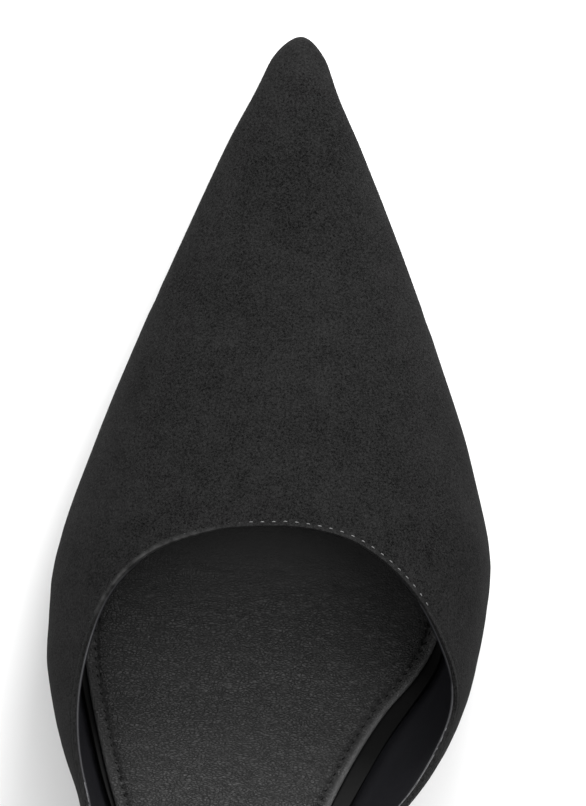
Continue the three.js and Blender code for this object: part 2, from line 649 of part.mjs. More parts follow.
const shoe = new THREE.Group();
shoe.add(
  named('upper', upperGeometry(), suede),
  named('outsole', plateGeometry(outsole), soleLeather),
  named('insole', plateGeometry(insole), liningLeather),
  named('sock', plateGeometry(sock), sockLeather),
  named('heel', heelGeometry(), suede),
  named('top_piece', topPieceGeometry(), treadPlastic),
);

// The origin is on the floor under the middle of the shoe's length and width
const bounds = new THREE.Box3().setFromObject(shoe);
shoe.position.set(-(bounds.min.x + bounds.max.x) / 2, -(bounds.min.y + bounds.max.y) / 2, -bounds.min.z);

export default shoe;
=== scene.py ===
import math
import random

import bmesh
import bpy
from mathutils import Matrix, Vector, noise
from mathutils.bvhtree import BVHTree
from mathutils.kdtree import KDTree


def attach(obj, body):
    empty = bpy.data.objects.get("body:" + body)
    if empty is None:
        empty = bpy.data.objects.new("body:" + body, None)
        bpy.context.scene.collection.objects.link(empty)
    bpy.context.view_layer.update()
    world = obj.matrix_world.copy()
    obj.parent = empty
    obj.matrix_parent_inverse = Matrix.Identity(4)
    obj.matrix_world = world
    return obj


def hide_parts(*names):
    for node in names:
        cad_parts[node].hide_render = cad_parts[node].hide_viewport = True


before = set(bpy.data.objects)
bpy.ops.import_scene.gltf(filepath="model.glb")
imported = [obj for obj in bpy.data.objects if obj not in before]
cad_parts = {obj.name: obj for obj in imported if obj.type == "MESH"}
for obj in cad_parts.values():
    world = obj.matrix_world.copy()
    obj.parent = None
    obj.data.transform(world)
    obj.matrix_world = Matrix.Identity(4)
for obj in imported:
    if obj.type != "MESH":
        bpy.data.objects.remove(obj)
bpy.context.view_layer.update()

MM = 0.001

# Camera: straight above the front of the shoe, turned a little so that the toe leans as in the photograph
PHOTO_HEIGHT = 806
FOCAL_PIXELS = 5718
SENSOR_LONG_SIDE = 36.0
CAMERA_HEIGHT = 1.1
CAMERA_OVER = (1.544 * MM, 54.407 * MM)
CAMERA_TURN = math.radians(4.5)
CAMERA_REACH = (0.05, 20)

# Light: the surround is brightest that way; soft boxes by place, aim, size and power
BRIGHT_WAY = (-0.15, 0.8, 0.5)
SKY_DIM = -0.2
SKY_BRIGHT = 1.9
KEY_PLACE = (0.5, 0.35, 1.1)
KEY_AIM = (0, 0.03, 0.02)
KEY_SIZE = (0.8, 0.8)
KEY_WATTS = 9
TOE_LIGHT_PLACE = (0.03, 0.31, 0.16)
TOE_LIGHT_AIM = (0, 0.12, 0.01)
TOE_LIGHT_SIZE = (0.1, 0.1)
TOE_LIGHT_WATTS = 0.6
FLOOR_SIZE = 30
FLOOR_WHITE = 0.85

# Suede upper
WALL_SMOOTHING = 2
SUEDE_THICKNESS = 0.75 * MM
FEATHER_ROUNDING = 1.2 * MM
TIP_ZONE = 5 * MM
TIP_FACING = 0.75
TIP_PASSES = 3

# Fold of the suede along the topline: its rounding, stitched groove, swell and rubbed nap
FOLD_ROUNDING = 0.34 * MM
FOLD_SEGMENTS = 3
FOLD_SHARP = math.radians(60)
FOLD_ZONE = 3.4 * MM
FOLD_CUTS = 3
FOLD_LINE = 0.85 * MM
FOLD_GROOVE = 0.1 * MM
GROOVE_SPREAD = 0.3 * MM
FOLD_SWELL = 0.08 * MM
SWELL_LINE = 0.45 * FOLD_LINE
SWELL_SPREAD = 0.4 * MM
FOLD_WORN = 0.65 * MM
FOLD_WORN_FROM = (-8 * MM, 10 * MM)
FOLD_WORN_FADE = 6 * MM
FOLD_WORN_SCALE = 900

# Lining
LINING_THICKNESS = 0.45 * MM
LINING_DROP = 0.5 * MM
LINING_DROP_SHARE = 0.8
LINING_PROUD = 0.1 * MM
LINING_EASE = 10 * MM
LINING_SEAM = 1.0 * MM
UPPER_SKIN = (0,)
UPPER_INSIDE = (1,)

# Bare leather edge between fold and lining, made lighter in part as a painted highlight: it starts behind
# these places on the outer and inner side
EDGE_PITCH = 0.6 * MM
EDGE_RADIUS = 0.16 * MM
EDGE_SIDES = 6
EDGE_BARE = (12 * MM, 3 * MM)
EDGE_FADE = 6 * MM
EDGE_FINEST = 0.1

# Stitches: spacing, length and half thickness; the nap hides those beyond the inner front of the throat
TOPLINE_PITCH = 2.12 * MM
TOPLINE_STITCH = 0.75 * MM
TOPLINE_THREAD = 0.11 * MM
BARE_FROM = (-5.5 * MM, 18 * MM)
BARE_LIFT = 0.03 * MM
NAP_LIFT = -0.1 * MM
SOCK_PITCH = 1.95 * MM
SOCK_STITCH = 1.15 * MM
SOCK_THREAD = 0.17 * MM
SOCK_SLANT = math.radians(24)
THREAD_SIDES = 8
THREAD_RING = 0.3
THREAD_TAPER = 0.45
THREAD_DIP = 0.9

# Sock: distance in from its cut edge, and height there over its underside, in millimetres
SOCK_PROFILE = (
    (0.0, 0.6), (0.12, 0.84), (0.4, 1.1), (0.8, 1.27), (1.2, 1.33), (1.55, 1.3), (1.8, 1.18), (2.0, 0.95),
    (2.2, 0.8), (2.4, 0.95), (2.65, 1.2), (3.0, 1.38), (3.6, 1.54), (4.4, 1.66), (5.4, 1.76),
)
SOCK_SEAM = 2.2 * MM
SOCK_SHARE = 6
SOCK_STEP = SOCK_PITCH / SOCK_SHARE
SOCK_COLUMNS = 24
SOCK_CROWN = 0.55 * MM
CROWN_WIDTH = 56 * MM
SOCK_PUCKER = 0.24 * MM
PUCKER_SPREAD = 0.5 * MM
PUCKER_PULL = (0.7, 0.6)
PUCKER_SEED = 7
SOCK_CREASE = 0.13 * MM
CREASE_SPREAD = 1.1 * MM
SOCK_UNEVEN = 0.06 * MM
UNEVEN_ABOVE = 1.2 * MM
UNEVEN_FADE = 0.3 * MM
# The sock's cut edge is paler: partly its raw worn edge, partly a painted highlight, full on the inner side
# that faces the key light.
SOCK_EDGE_WEAR_AND_HIGHLIGHT = 1.0 * MM
SOCK_OUTER_HIGHLIGHT_SHARE = 0.3
OUTLINE_STEP = 1.0 * MM
OUTLINE_PASSES = 14
OUTLINE_FINE = 4
LEVEL_STEP = 0.4 * MM

# Leather grain: its cells are wider than long, and a smooth front, its colour darkened as painted shade
# under the vamp, starts and is whole at these places
GRAIN_STRETCH = (0.5, 1.0, 1.0)
GRAIN_BEND = 1.2 * MM
SMOOTH_AND_SHADED_FROM = 4 * MM
SMOOTH_AND_SHADED_WHOLE = 26 * MM

# Meshes
SHARP = math.radians(40)
QUAD_LIMIT = math.radians(75)
MERGE = 0.02 * MM
PROBE = 0.25 * MM
SMOOTH_TRIALS = 2


def pick(piece):
    """Selects one object alone and makes it the active one."""
    if bpy.context.object and bpy.context.object.mode != "OBJECT":
        bpy.ops.object.mode_set(mode="OBJECT")
    bpy.ops.object.select_all(action="DESELECT")
    piece.select_set(True)
    bpy.context.view_layer.objects.active = piece


def apply_modifier(piece, kind, **settings):
    pick(piece)
    modifier = piece.modifiers.new(kind.lower(), kind)
    for name, value in settings.items():
        setattr(modifier, name, value)
    bpy.ops.object.modifier_apply(modifier=modifier.name)


def grey(value, blue=0.0):
    return (value, value, value * (1 + blue))


def add_camera():
    data = bpy.data.cameras.new("camera")
    data.sensor_width = SENSOR_LONG_SIDE
    data.lens = FOCAL_PIXELS / PHOTO_HEIGHT * SENSOR_LONG_SIDE
    data.clip_start, data.clip_end = CAMERA_REACH
    camera = bpy.data.objects.new("camera", data)
    camera.location = (*CAMERA_OVER, CAMERA_HEIGHT)
    camera.rotation_euler = (0, 0, CAMERA_TURN)
    bpy.context.scene.collection.objects.link(camera)
    bpy.context.scene.camera = camera


def add_softbox(name, place, aim, size, watts):
    bpy.ops.object.light_add(type="AREA", location=place)
    light = bpy.context.object
    light.name = name
    light.data.shape = "RECTANGLE"
    light.data.size, light.data.size_y = size
    light.data.energy = watts
    light.rotation_euler = (Vector(aim) - Vector(place)).to_track_quat("-Z", "Y").to_euler()
    light.visible_camera = False


def add_sky():
    """A white surround, brighter over the front of the shoe."""
    world = bpy.data.worlds.new("studio")
    world.use_nodes = True
    tree = world.node_tree
    way = tree.nodes.new("ShaderNodeTexCoord").outputs["Generated"]
    turn = tree.nodes.new("ShaderNodeVectorMath")
    turn.operation = "DOT_PRODUCT"
    turn.inputs[1].default_value = BRIGHT_WAY
    spread = tree.nodes.new("ShaderNodeMapRange")
    spread.inputs["From Min"].default_value = -1.0
    spread.inputs["To Min"].default_value = SKY_DIM
    spread.inputs["To Max"].default_value = SKY_BRIGHT
    tree.links.new(way, turn.inputs[0])
    tree.links.new(turn.outputs["Value"], spread.inputs["Value"])
    background = tree.nodes["Background"]
    background.inputs["Color"].default_value = (1, 1, 1, 1)
    tree.links.new(spread.outputs["Result"], background.inputs["Strength"])
    bpy.context.scene.world = world


def add_studio():
    add_sky()
    add_softbox("key", KEY_PLACE, KEY_AIM, KEY_SIZE, KEY_WATTS)
    add_softbox("toe", TOE_LIGHT_PLACE, TOE_LIGHT_AIM, TOE_LIGHT_SIZE, TOE_LIGHT_WATTS)
    bpy.ops.object.select_all(action="DESELECT")
    bpy.ops.mesh.primitive_plane_add(size=FLOOR_SIZE, location=(0, 0, 0))
    floor = bpy.context.object
    floor.name = "floor"
    material = bpy.data.materials.new("floor_white")
    material.use_nodes = True
    shader = material.node_tree.nodes["Principled BSDF"]
    shader.inputs["Base Color"].default_value = (*grey(FLOOR_WHITE), 1)
    shader.inputs["Roughness"].default_value = 0.9
    shader.inputs["Specular IOR Level"].default_value = 0.1
    floor.data.materials.append(material)


add_camera()
add_studio()
bpy.context.scene.view_settings.view_transform = "Standard"


# Modelling helpers
def cad_copy(node, name):
    """A copy of a CAD node as one skin of four-sided faces, to be finished as a piece."""
    piece = bpy.data.objects.new(name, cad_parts[node].data.copy())
    piece.data.name = name
    piece.data.materials.clear()
    bpy.context.scene.collection.objects.link(piece)
    pick(piece)
    bpy.ops.object.mode_set(mode="EDIT")
    bpy.ops.mesh.select_all(action="SELECT")
    bpy.ops.mesh.customdata_custom_splitnormals_clear()
    bpy.ops.mesh.remove_doubles(threshold=MERGE)
    bpy.ops.mesh.tris_convert_to_quads(face_threshold=QUAD_LIMIT, shape_threshold=QUAD_LIMIT)
    bpy.ops.object.mode_set(mode="OBJECT")
    mark_regions(piece)
    return piece


def mark_regions(piece):
    """Numbers the faces by the regions that sharp edges bound, from the largest region down."""
    mesh = bmesh.new()
    mesh.from_mesh(piece.data)
    mesh.faces.ensure_lookup_table()
    layer = mesh.faces.layers.int.new("region")
    regions = []
    seen = set()
    for start in mesh.faces:
        if start.index in seen:
            continue
        seen.add(start.index)
        region = [start]
        for face in region:
            for edge in face.edges:
                if len(edge.link_faces) == 2 and edge.calc_face_angle() < SHARP:
                    for other in edge.link_faces:
                        if other.index not in seen:
                            seen.add(other.index)
                            region.append(other)
        regions.append(region)
    regions.sort(key=lambda region: -sum(face.calc_area() for face in region))
    for number, region in enumerate(regions):
        for face in region:
            face[layer] = number
    mesh.to_mesh(piece.data)
    mesh.free()


def keep_regions(piece, kept):
    """Leaves only the faces of the regions named."""
    mesh = bmesh.new()
    mesh.from_mesh(piece.data)
    layer = mesh.faces.layers.int["region"]
    gone = [face for face in mesh.faces if face[layer] not in kept]
    bmesh.ops.delete(mesh, geom=gone, context="FACES")
    mesh.to_mesh(piece.data)
    mesh.free()


def round_sharp_edges(piece, width, segments=2):
    """Bevels every edge sharper than the limit."""
    pick(piece)
    bpy.ops.object.mode_set(mode="EDIT")
    bpy.ops.mesh.select_mode(type="EDGE")
    bpy.ops.mesh.select_all(action="DESELECT")
    bpy.ops.mesh.edges_select_sharp(sharpness=SHARP)
    bpy.ops.mesh.bevel(offset=width, segments=segments, affect="EDGES", clamp_overlap=True)
    bpy.ops.object.mode_set(mode="OBJECT")


def smooth(piece, levels):
    """Subdivides a piece so that the smooth surface still passes through its corners."""
    wanted = [vertex.co.copy() for vertex in piece.data.vertices]
    for _ in range(SMOOTH_TRIALS):
        trial = piece.modifiers.new("trial", "SUBSURF")
        trial.levels = trial.render_levels = levels
        graph = bpy.context.evaluated_depsgraph_get()
        made = piece.evaluated_get(graph).to_mesh()
        for vertex, place, reached in zip(piece.data.vertices, wanted, made.vertices):
            vertex.co += place - reached.co
        piece.evaluated_get(graph).to_mesh_clear()
        piece.modifiers.remove(trial)
    apply_modifier(piece, "SUBSURF", levels=levels, render_levels=levels)
    pick(piece)
    bpy.ops.object.shade_smooth()


def rim_line(piece):
    """Points in order round the open edge of a sheet, the one that lies highest."""
    mesh = bmesh.new()
    mesh.from_mesh(piece.data)
    edges = {edge for edge in mesh.edges if len(edge.link_faces) == 1}
    loops = []
    while edges:
        start = min(edges, key=lambda edge: edge.index)
        edges.discard(start)
        corner, first = start.verts
        loop = [first, corner]
        while True:
            onward = [edge for edge in corner.link_edges if edge in edges]
            if not onward:
                break
            edges.discard(onward[0])
            corner = onward[0].other_vert(corner)
            if corner is first:
                break
            loop.append(corner)
        loops.append([vertex.co.copy() for vertex in loop])
    mesh.free()
    return max(loops, key=lambda loop: sum(point.z for point in loop) / len(loop))


def even_places(points, step):
    """Places a whole number of even steps apart round a closed line."""
    lengths = [0.0]
    ring = points + [points[0]]
    for before, after in zip(ring, ring[1:]):
        lengths.append(lengths[-1] + (after - before).length)
    count = round(lengths[-1] / step)
    places = []
    at = 0
    for k in range(count):
        wanted = lengths[-1] * k / count
        while lengths[at + 1] < wanted:
            at += 1
        share = (wanted - lengths[at]) / max(lengths[at + 1] - lengths[at], 1e-9)
        places.append(ring[at].lerp(ring[at + 1], share))
    return places


def seat_line(surface, rim, depth):
    """Carries each place of a rim down the surface by a depth: place, normal, and ways along and down."""
    rows = []
    count = len(rim)
    for k, point in enumerate(rim):
        along = (rim[(k + 1) % count] - rim[k - 1]).normalized()
        _, normal, _, _ = surface.find_nearest(point)
        down = along.cross(normal).normalized()
        if surface.find_nearest(point + down * depth)[3] > surface.find_nearest(point - down * depth)[3]:
            down = -down
        place, normal, _, _ = surface.find_nearest(point + down * depth)
        rows.append((place, normal, along, down))
    return rows


def make_piece(name, corners, faces):
    mesh = bpy.data.meshes.new(name)
    mesh.from_pydata(corners, [], faces)
    mesh.update()
    piece = bpy.data.objects.new(name, mesh)
    bpy.context.scene.collection.objects.link(piece)
    return piece


def surface_of(piece):
    graph = bpy.context.evaluated_depsgraph_get()
    return BVHTree.FromObject(piece, graph)


def one_stitch(length, half):
    """A short stitch of thread, thick in the middle, whose ends turn down into the leather."""
    bpy.ops.object.select_all(action="DESELECT")
    bpy.ops.mesh.primitive_cylinder_add(vertices=THREAD_SIDES, radius=half, depth=length,
                                        end_fill_type="TRIFAN", rotation=(0, math.radians(90), 0))
    stitch = bpy.context.object
    bpy.ops.object.transform_apply(location=True, rotation=True, scale=True)
    bpy.ops.object.mode_set(mode="EDIT")
    bpy.ops.mesh.select_all(action="SELECT")
    bpy.ops.mesh.bisect(plane_co=(0, 0, 0), plane_no=(1, 0, 0))
    for side in (-1, 1):
        bpy.ops.mesh.select_all(action="SELECT")
        bpy.ops.mesh.bisect(plane_co=(side * length * THREAD_RING, 0, 0), plane_no=(1, 0, 0))
    bpy.ops.object.mode_set(mode="OBJECT")
    for vertex in stitch.data.vertices:
        share = abs(vertex.co.x) / (length / 2)
        narrow = 1 - THREAD_TAPER * share ** 3
        vertex.co.y *= narrow
        vertex.co.z = vertex.co.z * narrow - THREAD_DIP * half * share ** 3
    return stitch


def stitch_row(name, rows, length, half, lift, slant=0.0):
    """One object of stitches, one on each place of a row, at the height that the lift gives there."""
    pattern = one_stitch(length, half)
    corners = []
    faces = []
    for place, normal, along, down in rows:
        across = normal.cross(along).normalized()
        ahead = across.cross(normal).normalized()
        sign = 1 if across.dot(down) > 0 else -1
        turn = Matrix((ahead, across, normal)).transposed() @ Matrix.Rotation(sign * slant, 3, "Z")
        first = len(corners)
        for vertex in pattern.data.vertices:
            corners.append(place + turn @ vertex.co + normal * lift(place))
        for polygon in pattern.data.polygons:
            faces.append([first + corner for corner in polygon.vertices])
    bpy.data.objects.remove(pattern)
    piece = make_piece(name, corners, faces)
    pick(piece)
    bpy.ops.object.shade_smooth()
    return piece


def bead(name, rows, sink, radius, sides):
    """A thin round edge that follows a row, sunk under its surface; it is finest round the throat."""
    corners = []
    for place, normal, _, down in rows:
        limit = EDGE_BARE[0] if place.x < 0 else EDGE_BARE[1]
        share = min(max((limit - place.y) / EDGE_FADE, EDGE_FINEST), 1)
        centre = place - normal * sink
        for k in range(sides):
            angle = 2 * math.pi * k / sides
            corners.append(centre + (normal * math.cos(angle) + down * math.sin(angle)) * radius * share)
    faces = []
    count = len(rows)
    for k in range(count):
        for c in range(sides):
            a, b = k * sides + c, k * sides + (c + 1) % sides
            d, e = (a + sides) % len(corners), (b + sides) % len(corners)
            faces.append((a, b, e, d))
    piece = make_piece(name, corners, faces)
    clean_up(piece)
    return piece


# Materials
def shader_group(name, inputs, outputs):
    """An empty node group with named number inputs and outputs."""
    group = bpy.data.node_groups.new(name, "ShaderNodeTree")
    for label, value in inputs:
        socket = group.interface.new_socket(label, in_out="INPUT", socket_type="NodeSocketFloat")
        socket.default_value = value
    for label in outputs:
        group.interface.new_socket(label, in_out="OUTPUT", socket_type="NodeSocketFloat")
    start = group.nodes.new("NodeGroupInput")
    end = group.nodes.new("NodeGroupOutput")
    return group, start, end


def noise_node(group, vector, scale, detail=2.0, rough=0.5, distortion=0.0):
    node = group.nodes.new("ShaderNodeTexNoise")
    node.inputs["Detail"].default_value = detail
    node.inputs["Roughness"].default_value = rough
    node.inputs["Distortion"].default_value = distortion
    group.links.new(vector, node.inputs["Vector"])
    if isinstance(scale, (int, float)):
        node.inputs["Scale"].default_value = scale
    else:
        group.links.new(scale, node.inputs["Scale"])
    return node.outputs["Fac"]


def math_node(group, operation, *values):
    node = group.nodes.new("ShaderNodeMath")
    node.operation = operation
    for socket, value in zip(node.inputs, values):
        if isinstance(value, (int, float)):
            socket.default_value = value
        else:
            group.links.new(value, socket)
    return node.outputs[0]


def weighted_sum(group, parts, base=0.0):
    """Adds noises, each taken about its middle and weighted."""
    total = base
    for value, weight in parts:
        centred = math_node(group, "SUBTRACT", value, 0.5)
        scaled = math_node(group, "MULTIPLY", centred, weight)
        total = math_node(group, "ADD", total, scaled)
    return total


def object_coordinates(group):
    return group.nodes.new("ShaderNodeTexCoord").outputs["Object"]


def nap_group():
    """Short brushed nap: cloudy patches, strokes and single fibres."""
    group, start, end = shader_group("nap", [("Cloud", 0.5), ("Fleck", 1.1)], ["Shade", "Height"])
    place = object_coordinates(group)
    cloud = noise_node(group, place, scale=55.0, detail=4.0, rough=0.6, distortion=0.4)
    patch = noise_node(group, place, scale=260.0, detail=3.0, rough=0.6)
    fleck = noise_node(group, place, scale=2300.0, detail=3.0, rough=0.75)
    fibre = noise_node(group, place, scale=4800.0, detail=2.0, rough=0.6)
    shade = weighted_sum(group, [
        (cloud, start.outputs["Cloud"]),
        (patch, math_node(group, "MULTIPLY", start.outputs["Cloud"], 0.8)),
        (fleck, start.outputs["Fleck"]),
        (fibre, math_node(group, "MULTIPLY", start.outputs["Fleck"], 0.8)),
    ], 0.5)
    height = weighted_sum(group, [(patch, 0.35), (fleck, 0.8), (fibre, 0.5)], 0.5)
    group.links.new(shade, end.inputs["Shade"])
    group.links.new(height, end.inputs["Height"])
    return group


def grain_group():
    """Leather grain of small cells and thin wandering creases; a smooth front is plain, and darker as
    painted shade from the vamp over it.
    """
    group, start, end = shader_group("grain", [("Cells", 1700.0), ("Crease", 1.0), ("Smooth front and painted shade", 0.0)],
                                     ["Shade", "Height", "Gloss"])
    place = object_coordinates(group)
    stretch = group.nodes.new("ShaderNodeMapping")
    stretch.inputs["Scale"].default_value = GRAIN_STRETCH
    group.links.new(place, stretch.inputs["Vector"])
    warp = group.nodes.new("ShaderNodeTexNoise")
    warp.inputs["Scale"].default_value = 420.0
    warp.inputs["Detail"].default_value = 2.0
    group.links.new(stretch.outputs[0], warp.inputs["Vector"])
    bend = group.nodes.new("ShaderNodeVectorMath")
    bend.operation = "SCALE"
    bend.inputs["Scale"].default_value = GRAIN_BEND
    group.links.new(warp.outputs["Color"], bend.inputs[0])
    moved = group.nodes.new("ShaderNodeVectorMath")
    group.links.new(stretch.outputs[0], moved.inputs[0])
    group.links.new(bend.outputs[0], moved.inputs[1])
    cells = group.nodes.new("ShaderNodeTexVoronoi")
    cells.feature = "DISTANCE_TO_EDGE"
    group.links.new(moved.outputs[0], cells.inputs["Vector"])
    group.links.new(start.outputs["Cells"], cells.inputs["Scale"])
    pebble = math_node(group, "MINIMUM", math_node(group, "MULTIPLY", cells.outputs["Distance"], 4.0), 1.0)
    wander = noise_node(group, moved.outputs[0], scale=1250.0, detail=3.0, rough=0.6, distortion=1.0)
    away = math_node(group, "ABSOLUTE", math_node(group, "SUBTRACT", wander, 0.5))
    crease = math_node(group, "MINIMUM", math_node(group, "MULTIPLY", away, 7.0), 1.0)
    pores = noise_node(group, place, scale=3600.0, detail=2.0)
    broad = noise_node(group, place, scale=60.0, detail=3.0)
    apart = group.nodes.new("ShaderNodeSeparateXYZ")
    group.links.new(place, apart.inputs[0])
    front = group.nodes.new("ShaderNodeMapRange")
    front.inputs["From Min"].default_value = SMOOTH_AND_SHADED_FROM
    front.inputs["From Max"].default_value = SMOOTH_AND_SHADED_WHOLE
    group.links.new(apart.outputs["Y"], front.inputs["Value"])
    flat_and_shaded = math_node(group, "MULTIPLY", front.outputs["Result"], start.outputs["Smooth front and painted shade"])
    patchy = math_node(group, "ADD", math_node(group, "MULTIPLY", broad, 1.2), 0.4)
    depth = math_node(group, "MULTIPLY", math_node(group, "SUBTRACT", 1.0, flat_and_shaded), patchy)
    strength = math_node(group, "MULTIPLY", depth, start.outputs["Crease"])
    height = weighted_sum(group, [
        (pebble, math_node(group, "MULTIPLY", strength, 0.6)),
        (crease, math_node(group, "MULTIPLY", strength, 0.3)),
        (pores, 0.12),
    ], 0.5)
    even = weighted_sum(group, [
        (broad, 0.4),
        (crease, math_node(group, "MULTIPLY", strength, 0.35)),
        (pebble, math_node(group, "MULTIPLY", strength, 0.55)),
    ], 0.5)
    # Painted shade: the colour of the smooth front is darkened where the vamp shades it.
    shade = math_node(group, "SUBTRACT", even, math_node(group, "MULTIPLY", flat_and_shaded, 0.52))
    gloss = weighted_sum(group, [(broad, 0.25), (pores, 0.3), (crease, -0.15)], 0.5)
    group.links.new(height, end.inputs["Height"])
    group.links.new(shade, end.inputs["Shade"])
    group.links.new(gloss, end.inputs["Gloss"])
    return group


def scuff_group():
    """Fine scuffs and specks on hard parts."""
    group, start, end = shader_group("scuff", [("Scale", 300.0)], ["Shade", "Height"])
    place = object_coordinates(group)
    streak = group.nodes.new("ShaderNodeMapping")
    streak.inputs["Scale"].default_value = (1.0, 0.12, 1.0)
    group.links.new(place, streak.inputs["Vector"])
    scratch = noise_node(group, streak.outputs[0], start.outputs["Scale"], detail=5.0, rough=0.7)
    speck = noise_node(group, place, scale=2600.0, detail=2.0)
    shade = weighted_sum(group, [(scratch, 0.9), (speck, 0.4)], 0.5)
    height = weighted_sum(group, [(scratch, 0.5), (speck, 0.5)], 0.5)
    group.links.new(shade, end.inputs["Shade"])
    group.links.new(height, end.inputs["Height"])
    return group


NAP = nap_group()
GRAIN = grain_group()
SCUFF = scuff_group()


def finish_material(name, group, dark, light, rough, relief, values=(), gloss=0.0, constants=(), wear_and_highlight=None):
    """A material with colour, roughness and relief from a shared effect; its worn places and its places of
    painted highlight are paler.
    """
    material = bpy.data.materials.new(name)
    material.use_nodes = True
    tree = material.node_tree
    shader = tree.nodes["Principled BSDF"]
    effect = tree.nodes.new("ShaderNodeGroup")
    effect.node_tree = group
    for label, value in values:
        effect.inputs[label].default_value = value
    ramp = tree.nodes.new("ShaderNodeValToRGB")
    ramp.color_ramp.elements[0].color = (*dark, 1)
    ramp.color_ramp.elements[1].color = (*light, 1)
    tree.links.new(effect.outputs["Shade"], ramp.inputs["Fac"])
    colour = ramp.outputs["Color"]
    if wear_and_highlight:
        colour = paler(tree, colour, wear_and_highlight)
    tree.links.new(colour, shader.inputs["Base Color"])
    source = effect.outputs["Gloss"] if "Gloss" in effect.outputs else effect.outputs["Shade"]
    spread = tree.nodes.new("ShaderNodeMapRange")
    spread.inputs["To Min"].default_value = rough - gloss
    spread.inputs["To Max"].default_value = rough + gloss
    tree.links.new(source, spread.inputs["Value"])
    tree.links.new(spread.outputs["Result"], shader.inputs["Roughness"])
    bump = tree.nodes.new("ShaderNodeBump")
    bump.inputs["Strength"].default_value = 1.0
    bump.inputs["Distance"].default_value = relief
    tree.links.new(effect.outputs["Height"], bump.inputs["Height"])
    tree.links.new(bump.outputs["Normal"], shader.inputs["Normal"])
    for label, value in constants:
        shader.inputs[label].default_value = value
    return material


def paler(tree, colour, wear_and_highlight):
    """Mixes a paler colour in where the piece's wear-and-highlight attribute says."""
    places = tree.nodes.new("ShaderNodeAttribute")
    places.attribute_name = "wear_and_highlight"
    mix = tree.nodes.new("ShaderNodeMix")
    mix.data_type = "RGBA"
    colours = [socket for socket in mix.inputs if socket.type == "RGBA"]
    colours[1].default_value = (*wear_and_highlight, 1)
    tree.links.new(places.outputs["Fac"], mix.inputs[0])
    tree.links.new(colour, colours[0])
    return next(socket for socket in mix.outputs if socket.type == "RGBA")


def mark_wear_and_highlight(piece, amount):
    """Writes how much wear and painted highlight make each corner paler, from its place."""
    marks = piece.data.attributes.new("wear_and_highlight", "FLOAT", "POINT")
    for vertex, mark in zip(piece.data.vertices, marks.data):
        mark.value = amount(vertex.co)


SUEDE = finish_material(
    "black_suede", NAP, dark=grey(0.0), light=grey(0.0178), rough=0.95, relief=0.16 * MM, gloss=0.03,
    values=[("Cloud", 0.5), ("Fleck", 2.1)], wear_and_highlight=grey(0.04),
    constants=[("Specular IOR Level", 0.05), ("Sheen Weight", 0.01), ("Sheen Roughness", 0.5)],
)
LINING = finish_material(
    "lining_leather", GRAIN, dark=grey(0.005, 0.2), light=grey(0.0135, 0.2), rough=0.45, relief=0.02 * MM,
    values=[("Cells", 1900.0), ("Crease", 0.4)], gloss=0.08, constants=[("Specular IOR Level", 0.35)],
)
# Sock leather: its front is darkened as painted shade under the vamp, and its cut edge is paler from wear
# and a painted highlight.
SOCK = finish_material(
    "sock_leather", GRAIN, dark=grey(0.002), light=grey(0.046), rough=0.5, relief=0.22 * MM, gloss=0.1,
    values=[("Cells", 2600.0), ("Crease", 1.0), ("Smooth front and painted shade", 0.93)], wear_and_highlight=grey(0.085),
    constants=[("Specular IOR Level", 0.22)],
)
INSOLE = finish_material(
    "insole_leather", GRAIN, dark=grey(0.0006), light=grey(0.0025), rough=0.5, relief=0.02 * MM,
    values=[("Cells", 1700.0), ("Crease", 0.4)], gloss=0.08, constants=[("Specular IOR Level", 0.1)],
)
# Edge leather: lighter and bluer than the lining, partly its bare cut edge and partly a painted highlight
# where the rim catches the light.
EDGE = finish_material(
    "leather_edge", GRAIN, dark=grey(0.025, 0.08), light=grey(0.08, 0.08), rough=0.4, relief=0.02 * MM,
    values=[("Cells", 2600.0), ("Crease", 0.5)], gloss=0.08, constants=[("Specular IOR Level", 0.5)],
)
SOLE = finish_material(
    "sole_leather", SCUFF, dark=grey(0.006), light=grey(0.022), rough=0.5, relief=0.02 * MM, gloss=0.15,
    constants=[("Specular IOR Level", 0.4)],
)
TREAD = finish_material(
    "tread_plastic", SCUFF, dark=grey(0.005), light=grey(0.014), rough=0.48, relief=0.02 * MM, gloss=0.1,
    values=[("Scale", 700.0)], constants=[("Specular IOR Level", 0.45)],
)
GREY_THREAD = finish_material(
    "grey_thread", SCUFF, dark=grey(0.05), light=grey(0.16), rough=0.5, relief=0.02 * MM, gloss=0.05,
    values=[("Scale", 2500.0)],
)
BLACK_THREAD = finish_material(
    "black_thread", SCUFF, dark=grey(0.001), light=grey(0.003), rough=0.6, relief=0.02 * MM, gloss=0.05,
    values=[("Scale", 2500.0)], constants=[("Specular IOR Level", 0.05)],
)


def dress(piece, material, slot, *nodes):
    """Gives a finished piece its material and its body, and hides the nodes that it stands for; its slot is
    not used.
    """
    piece.data.materials.clear()
    piece.data.materials.append(material)
    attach(piece, "root")
    if nodes:
        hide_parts(*nodes)
    return piece


# Upper
def make_upper():
    """Suede skin: the outer face and the margin lasted under it, folded along the topline."""
    skin = cad_copy("upper", "suede_upper")
    keep_regions(skin, UPPER_SKIN)
    round_sharp_edges(skin, FEATHER_ROUNDING)
    smooth(skin, WALL_SMOOTHING)
    rim = even_places(rim_line(skin), PROBE)
    refine_near(skin, rim, FOLD_ZONE)
    shape_fold(skin, rim)
    settle_tip(skin)
    surface = surface_of(skin)
    stitches = seat_line(surface, even_places(rim, TOPLINE_PITCH), FOLD_LINE)
    edge = seat_line(surface, even_places(rim, EDGE_PITCH), EDGE_RADIUS)
    apply_modifier(skin, "SOLIDIFY", thickness=SUEDE_THICKNESS, offset=-1)
    round_rim(skin, rim)
    return skin, stitches, edge


